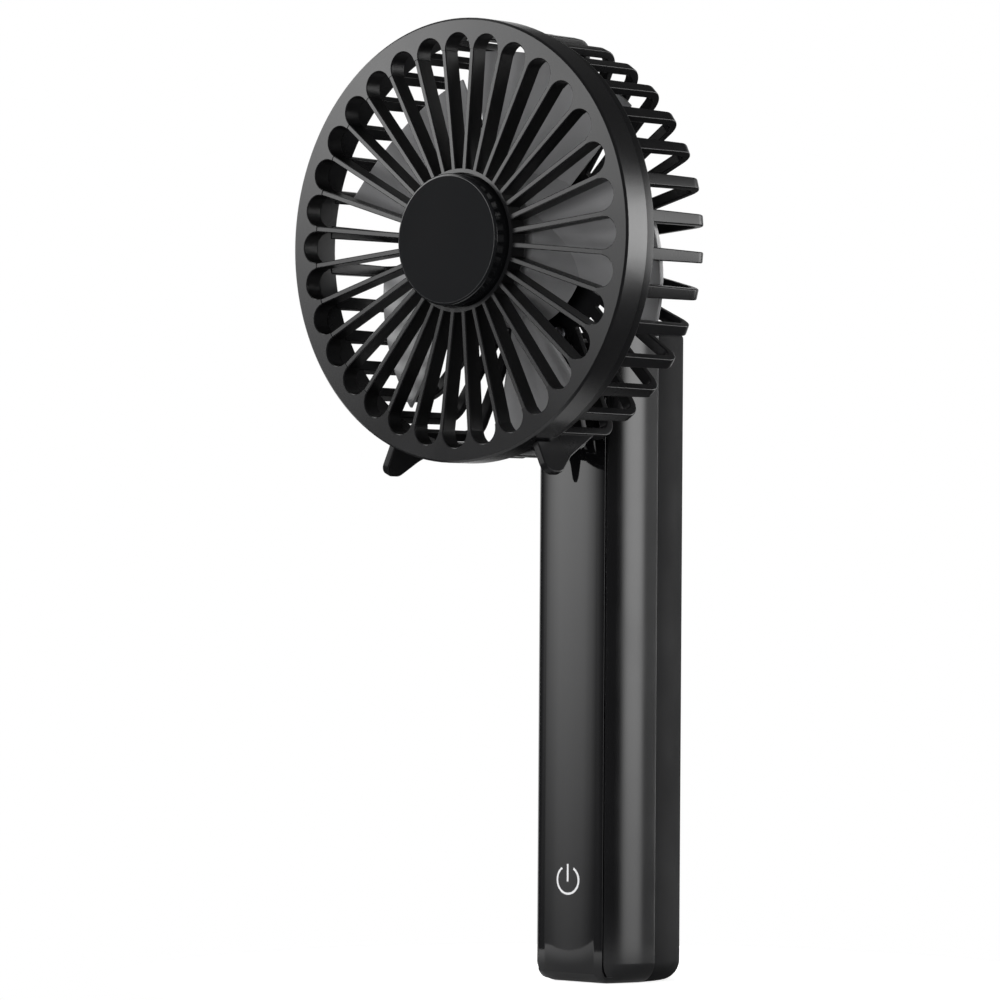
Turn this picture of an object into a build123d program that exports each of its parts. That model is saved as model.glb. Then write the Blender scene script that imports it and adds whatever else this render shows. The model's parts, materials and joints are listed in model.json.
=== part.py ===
from build123d import *
import os
from math import radians, sin, sqrt, tan

# Rechargeable hand fan, in millimetres. +Z is up and the fan blows towards -Y.
# The origin is the middle of the handle's bottom face.

# Fits and cutting
overrun = 2.0
fit_gap = 0.05
seat_gap = 0.1
running_gap = 0.03
pick_reach = 0.05
pick_share = 0.5

# Battery, board and the layers of the handle from front to back
battery_radius = 9.2
battery_length = 65.2
battery_side_gap = 1.0
battery_back_gap = 0.4
shell_wall = 1.8
panel_crown = 1.0
panel_edge = 1.6
ledge_thickness = 1.0
bridge_thickness = 2.2
board_thickness = 1.2
board_back_room = 1.2

# Handle shell
handle_length = 156.2
handle_corner = 5.2
bottom_round = 5.0
top_round = 1.6
side_bow = 3.5
bow_radius = 26.0
bow_depth = 16.0
seam_depth = 14.2
body_setback = 0.5
cover_step = 0.15
panel_gap = 0.25
panel_trim = 0.1
panel_top_land = 3.5
ledge_width = 1.0
bridge_height = 7.0
low_bridge_rise = 14.0
high_bridge_drop = 10.0
cradle_thickness = 1.6
cradle_end_inset = 7.0

# Screws
handle_screw_radius = 1.0
handle_screw_length = 9.0
screw_head_radius = 1.9
screw_head_height = 1.2
boss_radius = 2.5
boss_wall_gap = 0.4
board_screw_radius = 0.9
board_screw_length = 2.9
board_head_radius = 1.6
board_head_height = 1.0
board_screw_inset = 2.5

# Board, socket and touch key
board_side_gap = 1.2
tongue_width = 8.6
tongue_top_gap = 1.2
board_end_gap = 1.2
socket_width = 8.94
socket_height = 3.26
socket_length = 7.35
socket_wall = 0.3
socket_recess = 0.3
socket_back_wall = 1.0
socket_tongue_width = 6.7
socket_tongue_thickness = 0.7
socket_tongue_inset = 1.0
socket_port_gap = 0.3
touch_rise = 24.6
touch_radius = 4.0
chip_width = 5.0
chip_height = 1.0
choke_radius = 2.4
choke_height = 1.8
chip_spacing = 9.0
tab_width = 6.0
tab_length = 8.0
tab_thickness = 0.3
lead_radius = 0.7
lead_bend = 2.5
lead_side = 2.0
lead_forward = 2.5
lead_stand = 5.0
handle_lead_inset = 3.0

# Hinge
hinge_depth = 6.0
hinge_drop = 6.5
barrel_radius = 4.6
barrel_length = 8.0
barrel_clear = 0.4
pin_radius = 2.0
pin_head_radius = 3.2
pin_head_height = 1.2
pin_running_gap = 0.04
washer_thickness = 0.5
washer_radius = 3.8
bracket_thickness = 1.0
ear_radius = 4.2
bracket_screw_side = 2.8
bracket_screw_gap = 0.2
bracket_lead_gap = 0.6
notch_lead_gap = 0.2
bracket_screw_length = 5.2
block_floor = 5.5
nut_flats = 6.4
nut_thickness = 1.3
notch_side_gap = 0.3
cover_front_gap = 0.8
hinge_cover_top = 2.6
hinge_cover_leg = 1.2
lead_hole_gap = 0.4
lead_rise = 4.0

# Head: clear space between the back of the cage and the front panel
head_gap = 9.3

# Front grille, measured from the middle of its face; depth runs backwards
ring_radius = 52.0
ring_face = 3.5
ring_edge = 0.5
skirt_wall = 1.8
skirt_depth = 7.1
slot_count = 32
spoke_width = 1.25
spoke_depth = 4.5
spoke_round = 0.2
spoke_shoulder = 0.1
hub_ring_radius = 16.8
hub_ring_wall = 0.9
hub_sink = 0.8
hub_plate_depth = 2.8
hub_plate_thickness = 1.8

# Hub cap
cap_gap = 0.45
cap_proud = 3.4
cap_edge = 0.45
cap_wall = 1.6

# Rear cage
lip_step = 0.8
lip_length = 3.6
lip_gap = 0.4
lip_edge = 0.5
spigot_wall = 1.5
rib_count = 36
rib_step = 0.8
rib_thickness = 2.0
rib_front_width = 3.1
rib_back_width = 2.6
rib_corner = 4.8
rib_inner_corner = 2.8
back_thickness = 2.0
back_hub_radius = 22.0
spine_margin = 0.5
spine_tail = 1.0

# Feet, grown out of the two ribs on either side of straight down
foot_pitches = 2
foot_thickness = 1.9
foot_reach = 8.2
foot_front = 3.0
foot_tip_round = 2.6
foot_toe_length = 5.2
foot_knee_depth = 13.4
foot_knee_reach = 4.0
foot_knee_round = 6.0
foot_end_depth = 24.5
foot_skirt_gap = 0.3

# Impeller
blade_count = 5
blade_phase = 3.0
blade_half_angle = 25.0
blade_front_gap = 1.9
blade_back_gap = 6.0
blade_tip_gap = 3.1
blade_thickness = 1.5
blade_edge = 0.8
blade_camber = 1.6
impeller_wall = 1.3
hub_wall = 1.4
nose_gap = 1.7
nose_draw = 3.4
shoulder_drop = 2.6
waist_swell = 1.2
flare_swell = 4.4
flare_gap = 6.7
nose_wall = 2.4

# Motor
cup_radius = 14.0
cup_wall = 0.8
cup_length = 14.0
cup_boss_radius = 3.2
cup_boss_length = 3.0
magnet_wall = 0.95
magnet_length = 11.5
magnet_start = 2.1
air_gap = 0.4
shaft_radius = 1.5
shaft_seat = 1.4
bearing_running_gap = 0.03
bearing_radius = 3.0
bearing_gap = 0.8
clip_thickness = 0.4
clip_inset = 0.5
clip_groove = 0.35
clip_room = 0.4
shaft_tail = 0.6
tube_wall = 1.25
stator_length = 7.0
stator_start = 1.4
stator_rim = 1.8
tooth_count = 9
tooth_width = 1.7
tooth_shoe = 1.1
shoe_gap = 1.2
coil_width = 3.6
coil_overhang = 0.9
coil_inset = 0.3
coil_board_gap = 4.8
shoulder_step = 0.9
board_seat = 1.3
motor_board_thickness = 1.2
motor_board_gap = 0.4
motor_foot_thickness = 1.4
motor_foot_margin = 0.5
motor_screw_inset = 4.0
motor_seat_thickness = 0.8
motor_screw_count = 3
motor_screw_angle = -90
motor_screw_radius = 0.9
motor_screw_head = 1.7
motor_screw_head_height = 1.0
motor_screw_length = 3.0

# Rear cap, neck and its screws
rear_cap_radius = 17.0
rear_cap_depth = 3.0
rear_cap_wall = 1.2
rear_cap_edge = 0.8
neck_width = 17.0
neck_gap = 1.0
neck_shoulder = 2.2
neck_tail = 12.3
neck_thickness = 3.0
neck_corner = 3.0
arm_height = 7.0
arm_root = 2.0
lead_bore_gap = 0.4
neck_screw_inset = 3.0
neck_screw_edge = 2.3
neck_screw_radius = 1.1
neck_screw_head = 2.0
neck_screw_head_height = 1.2
neck_screw_length = 4.4
motor_lead_bend = 1.4

# Layers of the handle, measured from the crown of the front panel
panel_thickness = panel_crown + panel_edge
ledge_back = panel_thickness + ledge_thickness
board_front = ledge_back + bridge_thickness
board_back = board_front + board_thickness
battery_front = board_back + board_back_room
battery_axis = battery_front + battery_radius
inner_back = battery_axis + battery_radius + battery_back_gap
handle_depth = inner_back + shell_wall
inner_half = battery_radius + battery_side_gap
handle_width = 2 * (inner_half + shell_wall + side_bow)
front_y = -handle_depth / 2
bow_y = front_y + bow_depth
bracket_screw_back = barrel_radius + screw_head_radius + bracket_screw_gap
bracket_tail = bracket_screw_back + screw_head_radius
lead_hole_back = bracket_tail + lead_radius + bracket_lead_gap
notch_back = lead_hole_back + lead_radius + lead_hole_gap + notch_lead_gap
seam_y = front_y + seam_depth

# Heights along the handle
hinge_z = handle_length - hinge_drop
hinge_y = front_y + hinge_depth
notch_floor = hinge_z - barrel_radius - barrel_clear - bracket_thickness
block_bottom = notch_floor - block_floor
panel_top = notch_floor - panel_top_land
high_bridge = block_bottom - high_bridge_drop
boss_x = inner_half - boss_wall_gap - boss_radius
board_top = high_bridge - boss_radius - board_end_gap
board_bottom = low_bridge_rise + boss_radius + tongue_top_gap
board_half = inner_half - board_side_gap
battery_rise = (low_bridge_rise + high_bridge - battery_length) / 2
battery_top = battery_rise + battery_length
board_bridges = (battery_rise + battery_length / 4, battery_top - battery_length / 8)

# Hinge, outwards from the middle
washer_start = barrel_length / 2 + running_gap
ear_start = washer_start + washer_thickness + running_gap
ear_end = ear_start + bracket_thickness
notch_half = ear_end + nut_thickness + notch_side_gap
notch_back_y = hinge_y + notch_back
hinge_block_half = notch_half + shell_wall
hinge_block_back = notch_back_y + shell_wall

# Motor, depths behind the ring's face
nose_depth = spoke_depth + hub_sink + nose_gap
cup_front = nose_depth + nose_wall
cup_inner = cup_radius - cup_wall
magnet_inner = cup_inner - fit_gap - magnet_wall
stator_radius = magnet_inner - air_gap
tube_radius = bearing_radius + fit_gap + tube_wall
tube_front = cup_front + cup_boss_length + bearing_gap
stator_front = tube_front + stator_start
stator_back = stator_front + stator_length
motor_board_front = stator_back + coil_overhang + coil_board_gap
board_seat_front = motor_board_front + motor_board_thickness
motor_foot_front = board_seat_front + motor_seat_thickness
back_inner = motor_foot_front + motor_foot_thickness
cage_depth = back_inner + back_thickness
shoulder_radius_tube = tube_radius + shoulder_step
bore_end = motor_foot_front + motor_foot_thickness / 4
shaft_back = bore_end - shaft_tail
clip_back = shaft_back - clip_room
clip_radius = bearing_radius - clip_inset
bearing_back = clip_back - clip_thickness - clip_room
motor_board_radius = cup_inner - motor_board_gap
motor_foot_radius = cup_radius + motor_foot_margin
motor_screw_circle = motor_foot_radius - motor_screw_inset
motor_lead_drop = motor_board_radius - lead_radius - seat_gap

# Head, places and depths behind the ring's face
neck_top = rear_cap_radius + neck_gap
hinge_fan_drop = neck_top + neck_shoulder + arm_root + arm_height / 2
hinge_fan_depth = cage_depth + head_gap + hinge_depth
neck_bottom = hinge_fan_drop + neck_tail
neck_screw_side = neck_width / 2 - neck_screw_edge
spine_width = neck_width + 2 * spine_margin
spine_reach = neck_bottom + spine_tail
fan_z = hinge_z + hinge_fan_drop
fan_y = hinge_y - hinge_fan_depth
skirt_inner = ring_radius - skirt_wall
slot_end = ring_radius - ring_face
slot_half_angle = radians(180 / slot_count)
tooth_half = spoke_width / 2 + spoke_shoulder
slot_radius = (slot_end * sin(slot_half_angle) - tooth_half) / (1 + sin(slot_half_angle))
slot_centre = slot_end - slot_radius
lip_start = skirt_depth + lip_gap
lip_end = lip_start + lip_length
lip_radius = ring_radius - lip_step
spigot_radius = skirt_inner - seat_gap
spigot_inner = spigot_radius - spigot_wall
spigot_start = spoke_depth + seat_gap
rib_radius = lip_radius - rib_step
rib_inner = rib_radius - rib_thickness
cap_radius = hub_ring_radius - hub_ring_wall - cap_gap
foot_angle = (foot_pitches + 0.5) * 360 / rib_count
foot_radius = ring_radius + foot_reach
foot_knee_radius = ring_radius + foot_knee_reach

# Impeller, radii and depths
shoulder_radius = cup_radius + hub_wall
shoulder_depth = nose_depth + shoulder_drop
nose_radius = shoulder_radius - nose_draw
flare_radius = shoulder_radius + flare_swell
flare_depth = back_inner - flare_gap
waist_radius = shoulder_radius + waist_swell
waist_depth = (shoulder_depth + flare_depth) / 2
blade_front = shoulder_depth + blade_front_gap
blade_back = back_inner - blade_back_gap
blade_radius = rib_inner - blade_tip_gap

# The head is drawn about its own axis, with depth along local Z and local Y pointing down
fan_frame = Plane(origin=(0, fan_y, fan_z), x_dir=(1, 0, 0), z_dir=(0, 1, 0)).location


def block(x0, x1, y0, y1, z0, z1):
    """A box between two corners."""
    middle = Pos((x0 + x1) / 2, (y0 + y1) / 2, (z0 + z1) / 2)
    return middle * Box(x1 - x0, y1 - y0, z1 - z0)


def spin(*points):
    """A solid turned about Z from an outline of (radius, height) points."""
    return revolve(Plane.XZ * make_face(Polyline(*points, close=True)), Axis.Z)


def tube(outer, inner, start, end):
    """A ring about Z."""
    return spin((inner, start), (outer, start), (outer, end), (inner, end))


def rod(radius, start, end):
    """A round bar about Z."""
    return Pos(0, 0, (start + end) / 2) * Cylinder(radius, end - start)


def rod_y(x, z, radius, y0, y1):
    """A round bar along Y."""
    return Pos(x, (y0 + y1) / 2, z) * Rot(90, 0, 0) * Cylinder(radius, y1 - y0)


def rod_x(y, z, radius, x0, x1):
    """A round bar along X."""
    return Pos((x0 + x1) / 2, y, z) * Rot(0, 90, 0) * Cylinder(radius, x1 - x0)


def wire(points, bend, radius):
    """A wire along straight runs joined by arcs."""
    path = FilletPolyline(*points, radius=bend)
    return sweep(Plane(origin=path @ 0, z_dir=path % 0) * Circle(radius), path)


def group(solids):
    """Like pieces kept as separate solids in one node."""
    return Compound(children=solids)


def on_circle(shape, count, start=0.0):
    """Copies of a shape turned about Z."""
    return [Rot(0, 0, start + index * 360 / count) * shape for index in range(count)]


# Handle


def bow_half(y, inset):
    """Half the bar's width at y, on its bowed sides."""
    return handle_width / 2 - bow_radius + sqrt((bow_radius - inset) ** 2 - (y - bow_y) ** 2)


def shell_section(inset):
    """The bar's outline, level in front and behind with bowed sides, drawn in all round by inset."""
    front = front_y + body_setback + inset
    back = front_y + handle_depth - inset
    near = bow_half(front, inset)
    far = bow_half(back, inset)
    wide = handle_width / 2 - inset
    outline = make_face([
        Line((-near, front), (near, front)),
        ThreePointArc((near, front), (wide, bow_y), (far, back)),
        Line((far, back), (-far, back)),
        ThreePointArc((-far, back), (-wide, bow_y), (-near, front)),
    ])
    return fillet(outline.vertices(), handle_corner - inset)


def shell_block(inset):
    """The handle's rounded bar, drawn in all round by inset."""
    bar = extrude(shell_section(inset), handle_length)
    bar = fillet(bar.faces().sort_by(Axis.Z)[0].edges(), bottom_round)
    return fillet(bar.faces().sort_by(Axis.Z)[-1].edges(), top_round)


def shell_room(inset):
    """The hollow of the shell, one wall inside the bar."""
    room = extrude(shell_section(inset + shell_wall), handle_length - 2 * shell_wall)
    room = fillet(room.faces().sort_by(Axis.Z)[0].edges(), bottom_round - shell_wall)
    return Pos(0, 0, shell_wall) * room


def wall_core(inset):
    """A bar that ends halfway into the shell's wall, to trim what is joined to the wall."""
    return extrude(shell_section(inset + shell_wall / 2), handle_length)


def bridge_heights():
    """Every cross bridge behind the front panel."""
    return (low_bridge_rise, *board_bridges, high_bridge)


def screw_places():
    """The four long screws under the front panel."""
    return [(side * boss_x, z) for z in (low_bridge_rise, high_bridge) for side in (-1, 1)]


def board_screw_places():
    """The two screws that hold the board to its bridges."""
    return [(side * (board_half - board_screw_inset), z) for side, z in zip((1, -1), board_bridges)]


def hinge_block():
    """The block that carries the hinge, with a tongue that reaches back over the seam."""
    half = hinge_block_half
    front = front_y + body_setback + shell_wall / 2
    high = handle_length - shell_wall / 2
    tongue = block(-half, half, seam_y - shell_wall, hinge_block_back, block_bottom, handle_length)
    return tongue + block(-half, half, front, seam_y, block_bottom, high)


def handle_body():
    reach = handle_width
    body = shell_block(0) & block(-reach, reach, -reach, seam_y, -overrun, handle_length + overrun)
    body -= shell_room(0)
    body += hinge_block()
    body -= block(-inner_half, inner_half, -reach, front_y + panel_thickness, -overrun, panel_top)
    body -= block(-notch_half, notch_half, -reach, notch_back_y, notch_floor, handle_length + overrun)
    core = wall_core(0)
    for side in (-1, 1):
        x0, x1 = sorted((side * (inner_half - ledge_width), side * reach))
        ledge = block(x0, x1, front_y + panel_thickness, front_y + ledge_back, shell_wall, block_bottom)
        body += ledge & core
    for z in bridge_heights():
        low = z - bridge_height / 2
        high = low + bridge_height
        body += block(-reach, reach, front_y + ledge_back, front_y + board_front, low, high) & core
    seat = front_y + ledge_back + screw_head_height
    for x, z in screw_places():
        body -= rod_y(x, z, screw_head_radius + seat_gap, front_y, seat)
        body -= rod_y(x, z, handle_screw_radius + seat_gap, front_y, front_y + board_front + overrun)
    for x, z in board_screw_places():
        body -= rod_y(x, z, board_screw_radius + fit_gap, front_y, front_y + board_front)
    for side in (-1, 1):
        place = Pos(side * bracket_screw_side, hinge_y + bracket_screw_back, 0)
        body -= place * rod(handle_screw_radius + fit_gap, block_bottom, notch_floor + overrun)
    body -= Pos(0, hinge_y + lead_hole_back) * rod(lead_radius + lead_hole_gap, 0, notch_floor + overrun) \
        & block(-reach, reach, -reach, reach, block_bottom - overrun, handle_length)
    return body - socket_port()


def socket_port():
    """The opening for the charging plug in the handle's bottom."""
    width = socket_width + 2 * socket_port_gap
    height = socket_height + 2 * socket_port_gap
    outline = Pos(0, socket_middle()) * SlotOverall(width, height)
    return Pos(0, 0, -overrun) * extrude(outline, shell_wall + 2 * overrun)


def socket_middle():
    return front_y + board_back + socket_height / 2


def front_panel():
    half = inner_half - panel_gap
    back = front_y + panel_thickness
    edge = front_y + panel_crown
    outline = make_face([
        ThreePointArc((-half, edge), (0, front_y), (half, edge)),
        Polyline((half, edge), (half, back), (-half, back), (-half, edge)),
    ])
    panel = extrude(outline, panel_top - panel_gap)
    return panel & shell_block(-body_setback - panel_trim)


def rear_cover():
    reach = handle_width
    cover = shell_block(cover_step) & block(-reach, reach, seam_y, reach, -overrun, handle_length + overrun)
    cover -= shell_room(cover_step)
    half = hinge_block_half + seat_gap
    cover -= block(-half, half, -reach, hinge_block_back + seat_gap, block_bottom, handle_length + overrun)
    core = wall_core(cover_step)
    back = front_y + inner_back
    cell = Pos(0, front_y + battery_axis) * rod(battery_radius + seat_gap, 0, handle_length)
    for share in (0, 0.5, 1):
        z = battery_rise + cradle_end_inset + share * (battery_length - 2 * cradle_end_inset)
        cradle = block(-reach, reach, front_y + battery_axis, reach, z, z + cradle_thickness) & core
        cover += cradle - cell
    for x, z in screw_places():
        cover += rod_y(x, z, boss_radius, front_y + board_front, back)
        cover -= rod_y(x, z, handle_screw_radius + fit_gap, front_y,
                       front_y + ledge_back + screw_head_height + handle_screw_length + overrun)
    return cover


def pan_screw(radius, length, head_radius, head_height):
    """A pan-head screw along Z, head downwards, seated at zero."""
    head = rod(head_radius, -head_height, 0)
    head = fillet(head.faces().sort_by(Axis.Z)[0].edges(), head_height / 2)
    return head + rod(radius, 0, length)


def handle_screws():
    screw = Rot(-90, 0, 0) * pan_screw(handle_screw_radius, handle_screw_length,
                                       screw_head_radius, screw_head_height)
    seat = front_y + ledge_back + screw_head_height
    return group([Pos(x, seat, z) * screw for x, z in screw_places()])


# Battery, board, socket and touch key


def battery_cell():
    cell = rod(battery_radius, battery_rise, battery_top)
    cell = fillet(cell.edges().filter_by(GeomType.CIRCLE), tab_thickness)
    return Pos(0, front_y + battery_axis) * cell


def battery_tabs():
    y = front_y + battery_axis
    low = block(-tab_width / 2, tab_width / 2, y - tab_length / 2, y + tab_length / 2,
                battery_rise - tab_thickness, battery_rise)
    return group([low, Pos(0, 0, battery_length + tab_thickness) * low])


def battery_lead(side, start, stand):
    """A lead from an end tab to the back of the board."""
    y = front_y + battery_axis - lead_forward
    x = side * lead_side
    points = [(x, y, start), (x, y, start + stand), (x, front_y + board_back, start + stand)]
    return wire(points, lead_bend, lead_radius)


def main_board():
    front = front_y + board_front
    back = front_y + board_back
    board = block(-board_half, board_half, front, back, board_bottom, board_top)
    board += block(-tongue_width / 2, tongue_width / 2, front, back, shell_wall + fit_gap, board_bottom)
    chip_z = battery_rise + battery_length / 2
    board += block(-chip_width / 2, chip_width / 2, front - chip_height, front, chip_z, chip_z + chip_width)
    board += rod_y(0, chip_z + chip_spacing + chip_width, choke_radius, front - choke_height, front)
    for x, z in board_screw_places():
        board -= rod_y(x, z, board_screw_radius + fit_gap, front - overrun, back + overrun)
    return board


def board_screws():
    screw = Rot(90, 0, 0) * pan_screw(board_screw_radius, board_screw_length,
                                      board_head_radius, board_head_height)
    return group([Pos(x, front_y + board_back, z) * screw for x, z in board_screw_places()])


def usb_socket():
    place = Pos(0, socket_middle(), socket_recess)
    shell = extrude(SlotOverall(socket_width, socket_height), socket_length)
    hollow = SlotOverall(socket_width - 2 * socket_wall, socket_height - 2 * socket_wall)
    shell -= extrude(hollow, socket_length - socket_back_wall)
    tongue = Rectangle(socket_tongue_width, socket_tongue_thickness)
    shell += Pos(0, 0, socket_tongue_inset) * extrude(tongue, socket_length - socket_tongue_inset)
    return place * shell


def touch_pad():
    return rod_y(0, touch_rise, touch_radius, front_y + panel_thickness, front_y + board_front)


def handle_lead():
    """The handle's half of the motor lead, from the board up to the hinge."""
    y = hinge_y + lead_hole_back
    low = board_top - handle_lead_inset
    high = notch_floor + lead_rise
    end = hinge_y + barrel_radius + cover_front_gap
    points = [(0, front_y + board_back, low), (0, y, low), (0, y, high), (0, end, high)]
    return wire(points, lead_bend, lead_radius)


# Hinge


def hinge_bracket():
    base_top = notch_floor + bracket_thickness
    bracket = block(-ear_end, ear_end, hinge_y - ear_radius, hinge_y + bracket_tail, notch_floor, base_top)
    for side in (-1, 1):
        x0, x1 = sorted((side * ear_start, side * ear_end))
        ear = block(x0, x1, hinge_y - ear_radius, hinge_y + ear_radius, notch_floor, hinge_z)
        ear += rod_x(hinge_y, hinge_z, ear_radius, x0, x1)
        bracket += ear
        place = Pos(side * bracket_screw_side, hinge_y + bracket_screw_back, 0)
        bracket -= place * rod(handle_screw_radius + seat_gap, notch_floor - overrun, base_top + overrun)
    return bracket - rod_x(hinge_y, hinge_z, pin_radius + fit_gap, -notch_half, notch_half)


def bracket_screws():
    screw = Rot(180, 0, 0) * pan_screw(handle_screw_radius, bracket_screw_length,
                                       screw_head_radius, screw_head_height)
    top = notch_floor + bracket_thickness
    y = hinge_y + bracket_screw_back
    return group([Pos(side * bracket_screw_side, y, top) * screw for side in (-1, 1)])


def hinge_pin():
    pin = rod_x(hinge_y, hinge_z, pin_radius, -ear_end - nut_thickness, ear_end)
    return pin + rod_x(hinge_y, hinge_z, pin_head_radius, ear_end, ear_end + pin_head_height)


def hinge_nut():
    nut = extrude(RegularPolygon(nut_flats / 2, 6, major_radius=False), nut_thickness)
    nut -= rod(pin_radius + fit_gap, -overrun, nut_thickness + overrun)
    return Pos(-ear_end - nut_thickness, hinge_y, hinge_z) * Rot(0, 90, 0) * nut


def friction_washers():
    ring = tube(washer_radius, pin_radius + fit_gap, 0, washer_thickness)
    place = Pos(0, hinge_y, hinge_z) * Rot(0, 90, 0)
    low = place * Pos(0, 0, -washer_start - washer_thickness) * ring
    return group([low, place * Pos(0, 0, washer_start) * ring])


def hinge_cover():
    half = notch_half - seat_gap
    front = hinge_y + barrel_radius + cover_front_gap
    back = notch_back_y - seat_gap
    cover = block(-half, half, front, back, notch_floor, handle_length)
    inner = half - hinge_cover_leg
    return cover - block(-inner, inner, front - overrun, back + overrun,
                         notch_floor - overrun, handle_length - hinge_cover_top)


# Front of the head


def grille_ring():
    """The outer ring and its skirt, scalloped by the round ends of the slots."""
    ring = spin((slot_centre, 0), (ring_radius - ring_edge, 0), (ring_radius, ring_edge),
                (ring_radius, skirt_depth), (skirt_inner, skirt_depth), (skirt_inner, spoke_depth),
                (slot_centre, spoke_depth))
    ends = Pos(slot_centre, 0) * rod(slot_radius, -overrun, skirt_depth + overrun)
    ring -= on_circle(ends, slot_count)
    rims = ring.edges().filter_by(GeomType.CIRCLE).filter_by(is_scallop_rim)
    return chamfer(rims, spoke_round)


def is_scallop_rim(edge):
    """True for the front edge of a slot's round end."""
    return abs(edge.radius - slot_radius) < pick_reach and edge.center().Z < pick_reach


def grille_spoke():
    """A straight spoke from the hub ring to the outer ring, with its front edges eased."""
    hub = hub_ring_radius - hub_ring_wall / 2
    end = slot_centre + spoke_width
    side = make_face(Polyline((hub, hub_sink), (end, spoke_shoulder), (end, spoke_depth - spoke_shoulder),
                              (hub, spoke_depth + hub_sink), close=True))
    spoke = extrude(Plane.XZ * side, spoke_width / 2, both=True)
    fronts = spoke.faces().filter_by(lambda face: face.normal_at().Z < -pick_share)
    return chamfer(long_edges(fronts), spoke_round)


def long_edges(faces):
    """The edges of a bar's faces that run along it."""
    return [edge for face in faces for edge in face.edges() if abs(edge.tangent_at(0).Y) < pick_share]


def front_grille():
    hub_inner = hub_ring_radius - hub_ring_wall
    plate_back = hub_plate_depth + hub_plate_thickness
    back = spoke_depth + hub_sink
    hub = spin((0, hub_plate_depth), (hub_inner, hub_plate_depth), (hub_inner, hub_sink),
               (hub_ring_radius, hub_sink), (hub_ring_radius, back), (hub_inner, back),
               (hub_inner, plate_back), (0, plate_back))
    return grille_ring() + hub + on_circle(grille_spoke(), slot_count, 180 / slot_count)


def hub_cap():
    inner = cap_radius - cap_wall
    return spin((0, -cap_proud), (cap_radius - cap_edge, -cap_proud), (cap_radius, cap_edge - cap_proud),
                (cap_radius, hub_plate_depth), (inner, hub_plate_depth), (inner, cap_wall - cap_proud),
                (0, cap_wall - cap_proud))


# Rear cage


def cage_rib():
    """One hooked rib: straight back from the lip, round the corner and in to the hub plate."""
    hub = back_hub_radius - back_thickness
    start = lip_end - lip_length / 2
    outline = make_face(Polyline((rib_inner, start), (rib_radius, start), (rib_radius, cage_depth),
                                 (hub, cage_depth), (hub, back_inner), (rib_inner, back_inner), close=True))
    corners = outline.vertices()
    outer = corners.sort_by_distance((rib_radius, cage_depth))[0]
    inner = corners.sort_by_distance((rib_inner, back_inner))[0]
    outline = fillet(outer, rib_corner)
    inner = outline.vertices().sort_by_distance(inner)[0]
    outline = fillet(inner, rib_inner_corner)
    rib = extrude(Plane.XZ * outline, rib_front_width / 2, both=True)
    wide = rib_front_width / 2
    narrow = rib_back_width / 2
    taper = make_face(Polyline((-wide, start), (wide, start), (narrow, back_inner), (narrow, cage_depth),
                               (-narrow, cage_depth), (-narrow, back_inner), close=True))
    return rib & extrude(Plane.YZ * taper, ring_radius)


def foot():
    """A fin along a rib, longest near the front, that the fan stands on."""
    clear = ring_radius + foot_skirt_gap
    toe = foot_front + foot_toe_length
    root = rib_inner + rib_thickness / 2
    outline = make_face(Polyline((clear, foot_front), (foot_radius, foot_front), (foot_radius, toe),
                                 (foot_knee_radius, foot_knee_depth), (rib_radius, foot_end_depth),
                                 (root, foot_end_depth), (root, lip_start), (clear, lip_start), close=True))
    for corner, size in (((foot_radius, foot_front), foot_tip_round),
                         ((foot_radius, toe), foot_tip_round),
                         ((foot_knee_radius, foot_knee_depth), foot_knee_round)):
        outline = fillet(outline.vertices().sort_by_distance(corner)[0], size)
    return extrude(Plane.XZ * outline, foot_thickness / 2, both=True)


def rear_cage():
    cage = spin((spigot_inner, spigot_start), (spigot_radius, spigot_start), (spigot_radius, lip_start),
                (lip_radius, lip_start), (lip_radius, lip_end - lip_edge), (lip_radius - lip_edge, lip_end),
                (spigot_inner, lip_end))
    cage += on_circle(cage_rib(), rib_count, 180 / rib_count)
    cage += rod(back_hub_radius, back_inner, cage_depth)
    cage += block(-spine_width / 2, spine_width / 2, 0, spine_reach, back_inner, cage_depth)
    cage += [Rot(0, 0, 90 + side * foot_angle) * foot() for side in (-1, 1)]
    for x, y in neck_screw_places():
        cage -= Pos(x, y) * rod(neck_screw_radius + seat_gap, back_inner - overrun, cage_depth + overrun)
    cage -= motor_screw_ring(rod(motor_screw_radius + seat_gap, 0, cage_depth + overrun))
    return cage - Pos(0, motor_lead_drop) * rod(lead_radius + lead_hole_gap, back_inner - overrun,
                                                cage_depth + overrun)


def motor_screw_ring(shape):
    """Copies on the motor's screw circle, one straight up and none over the lead below."""
    return on_circle(Pos(motor_screw_circle, 0) * shape, motor_screw_count, motor_screw_angle)


# Neck between the cage and the hinge


def neck_screw_places():
    return [(side * neck_screw_side, y) for side in (-1, 1)
            for y in (neck_top + neck_screw_inset, neck_bottom - neck_screw_inset)]


def is_arm_root(point, back):
    """True for the edges where the arm leaves the neck's plate."""
    beside = abs(point.X) <= barrel_length / 2 + pick_reach
    level = abs(point.Y - hinge_fan_drop) <= arm_height / 2 + pick_reach
    return beside and level and abs(point.Z - back) <= pick_reach


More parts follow.
